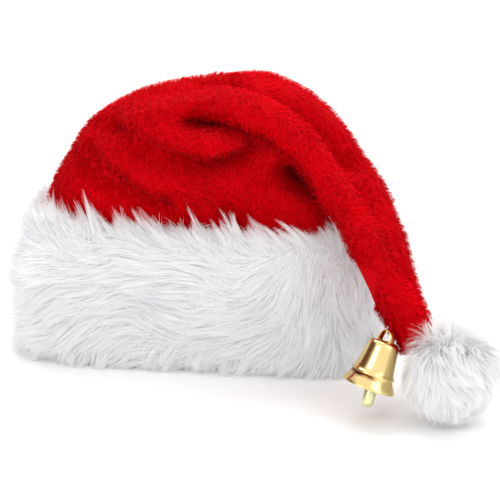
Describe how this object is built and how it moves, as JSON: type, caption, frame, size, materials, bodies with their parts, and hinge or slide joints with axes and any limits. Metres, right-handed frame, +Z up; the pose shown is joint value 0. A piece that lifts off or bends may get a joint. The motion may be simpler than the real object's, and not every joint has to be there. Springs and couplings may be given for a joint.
{
  "type": "santa hat",
  "caption": "Santa hat of red plush on a deep white fur band, its tail folded over to a fur pompom and a small bell with a swinging clapper.",
  "frame": {"origin": "middle of the bounding box's floor, where the hat stands on its band", "axes": "+X along the band's long side, towards the side that the tail falls over; -Y the side that the picture shows; +Z up"},
  "size_m": [0.3774, 0.239, 0.2115],
  "materials": {
    "red_plush": "short-pile plush",
    "white_fur": "long soft pile",
    "gold_metal": "polished",
    "red_thread": "sewing thread"
  },
  "bodies": {
    "hat": {"crown": "red_plush", "fur_band": "white_fur", "pompom": "white_fur", "bell": "gold_metal", "bell_thread": "red_thread"},
    "clapper": {"bell_clapper": "gold_metal"}
  },
  "joints": [
    {"name": "clapper_swing", "type": "hinge", "parent": "hat", "child": "clapper", "pos_m": [0.10695, -0.08474, 0.05228], "axis": [-0.0788, 0.9703, -0.2287], "range_deg": [-18, 28]}
  ]
}
